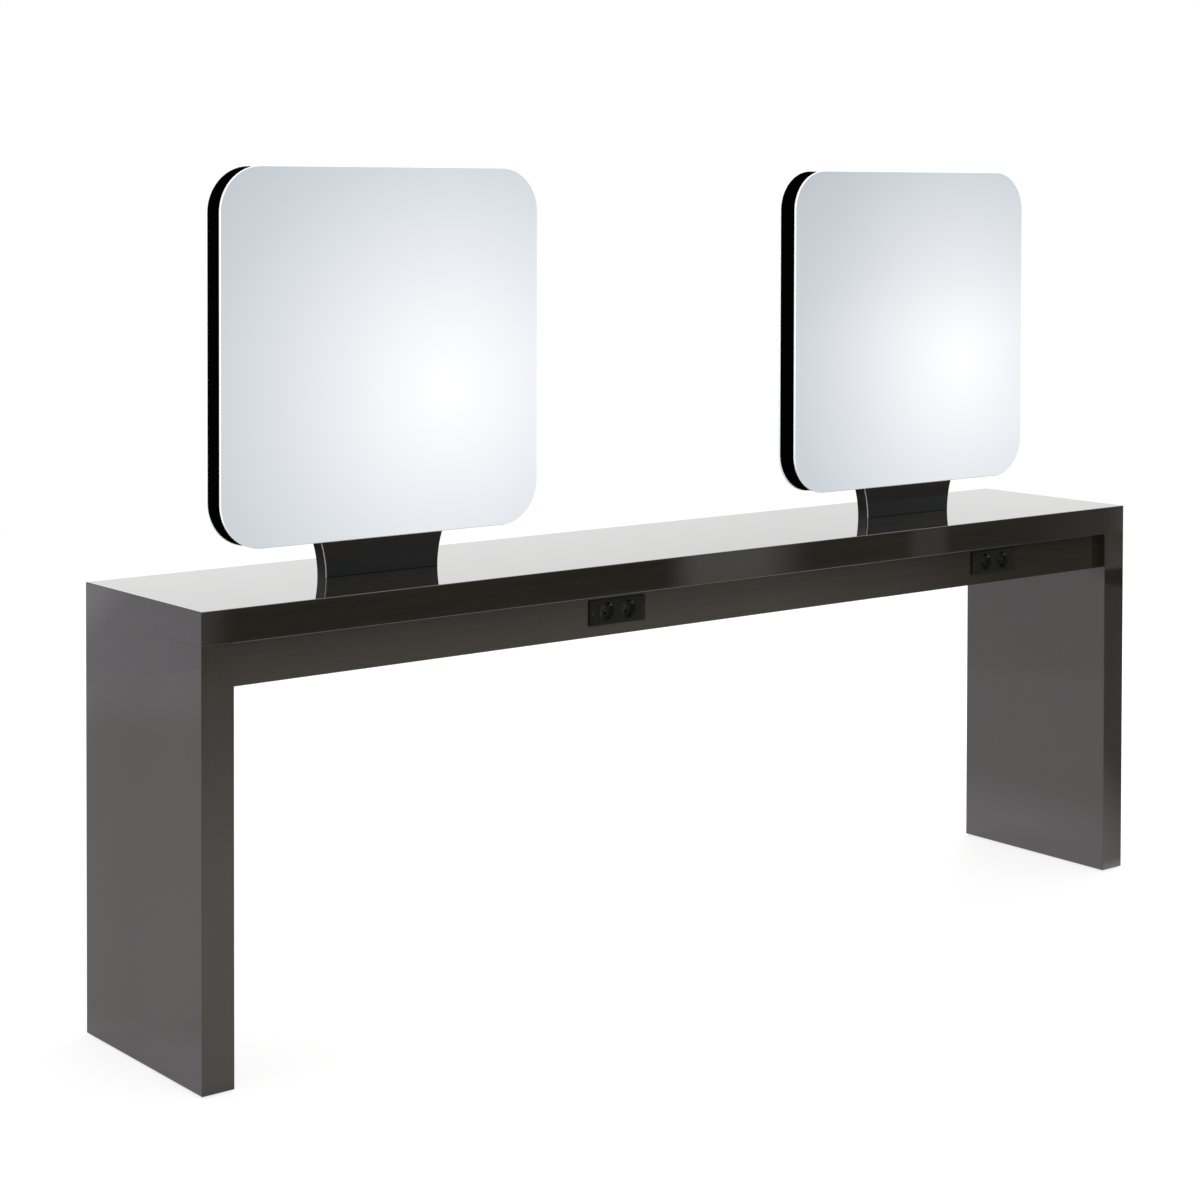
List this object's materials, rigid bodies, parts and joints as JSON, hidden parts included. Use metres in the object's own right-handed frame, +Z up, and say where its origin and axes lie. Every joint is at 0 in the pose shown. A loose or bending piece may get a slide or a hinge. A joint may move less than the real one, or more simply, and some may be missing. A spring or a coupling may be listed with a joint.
{
  "type": "double sided salon station",
  "caption": "Long high-gloss styling table on end panels, with double-faced mirrors on short necks and earthed mains sockets in its aprons.",
  "frame": {"origin": "on the floor under the middle of the table", "axes": "+X along the table, +Y from front to rear, +Z up"},
  "size_m": [2.59, 0.457, 1.722],
  "materials": {
    "dark_lacquer": "very dark brown lacquer, high gloss",
    "black_board": "black, matt",
    "mirror_glass": "silvered glass, polished edge",
    "black_gloss": "gloss",
    "zinc_steel": "zinc plated",
    "screw_steel": "zinc plated",
    "nickel_spring": "nickel plated",
    "brass": "rolled strip",
    "beech": "bare",
    "nylon": "moulded",
    "socket_black": "satin gloss",
    "box_plastic": "moulded"
  },
  "bodies": {
    "station": {"anchor_left": "zinc_steel", "anchor_right": "zinc_steel", "apron_blocks": "beech", "apron_front": "dark_lacquer", "apron_rear": "dark_lacquer", "apron_tongues": "beech", "earth_clips": "nickel_spring", "end_blocks": "beech", "end_panel_left": "dark_lacquer", "end_panel_right": "dark_lacquer", "glide_nuts": "screw_steel", "mirror_left_core": "black_board", "mirror_left_glass_front": "mirror_glass", "mirror_left_glass_rear": "mirror_glass", "mirror_right_core": "black_board", "mirror_right_glass_front": "mirror_glass", "mirror_right_glass_rear": "mirror_glass", "neck_left_cheek_front": "black_gloss", "neck_left_cheek_rear": "black_gloss", "neck_left_core": "black_board", "neck_right_cheek_front": "black_gloss", "neck_right_cheek_rear": "black_gloss", "neck_right_core": "black_board", "pin_contacts": "brass", "socket_front_left_back_box": "box_plastic", "socket_front_left_housing": "socket_black", "socket_front_right_back_box": "box_plastic", "socket_front_right_housing": "socket_black", "socket_rear_left_back_box": "box_plastic", "socket_rear_left_housing": "socket_black", "socket_rear_right_back_box": "box_plastic", "socket_rear_right_housing": "socket_black", "top_tongues": "beech", "worktop": "dark_lacquer"},
    "glide_front_left": {"glide_front_left_foot": "nylon", "glide_front_left_stud": "screw_steel"},
    "glide_front_right": {"glide_front_right_foot": "nylon", "glide_front_right_stud": "screw_steel"},
    "glide_rear_left": {"glide_rear_left_foot": "nylon", "glide_rear_left_stud": "screw_steel"},
    "glide_rear_right": {"glide_rear_right_foot": "nylon", "glide_rear_right_stud": "screw_steel"}
  },
  "joints": [
    {"name": "glide_front_left_thread", "type": "slide", "parent": "station", "child": "glide_front_left", "axis": [0, 0, -1], "range_m": [0, 0.01]},
    {"name": "glide_front_right_thread", "type": "slide", "parent": "station", "child": "glide_front_right", "axis": [0, 0, -1], "range_m": [0, 0.01]},
    {"name": "glide_rear_left_thread", "type": "slide", "parent": "station", "child": "glide_rear_left", "axis": [0, 0, -1], "range_m": [0, 0.01]},
    {"name": "glide_rear_right_thread", "type": "slide", "parent": "station", "child": "glide_rear_right", "axis": [0, 0, -1], "range_m": [0, 0.01]}
  ]
}
